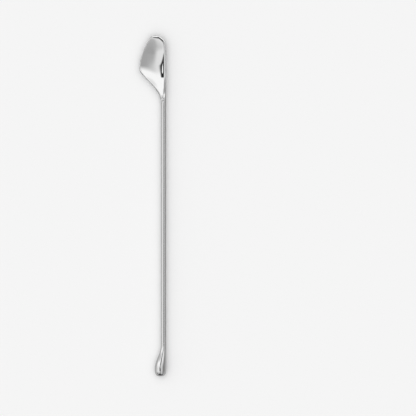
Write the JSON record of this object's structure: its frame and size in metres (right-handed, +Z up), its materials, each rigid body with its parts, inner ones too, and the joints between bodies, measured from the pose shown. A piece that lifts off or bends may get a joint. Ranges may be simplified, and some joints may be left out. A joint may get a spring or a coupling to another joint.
{
  "type": "bar spoon",
  "caption": "Straight-shaft bar spoon in polished steel with a one-sided angular bowl and a weighted teardrop end.",
  "frame": {"origin": "on the table, under the middle of the spoon's bounding box", "axes": "+Y along the shaft towards the bowl's tip, +Z up from the table with the bowl's hollow facing up, +X towards the straight side that the shaft, bowl and drop share"},
  "size_m": [0.0196, 0.2499, 0.0083],
  "materials": {
    "polished_steel": "mirror polished stainless steel",
    "ground_weld": "weld ground flush and polished"
  },
  "bodies": {
    "root": {"bowl": "polished_steel", "bowl_weld": "ground_weld", "shaft": "polished_steel", "drop_weld": "ground_weld", "drop_weight": "polished_steel"}
  },
  "joints": []
}
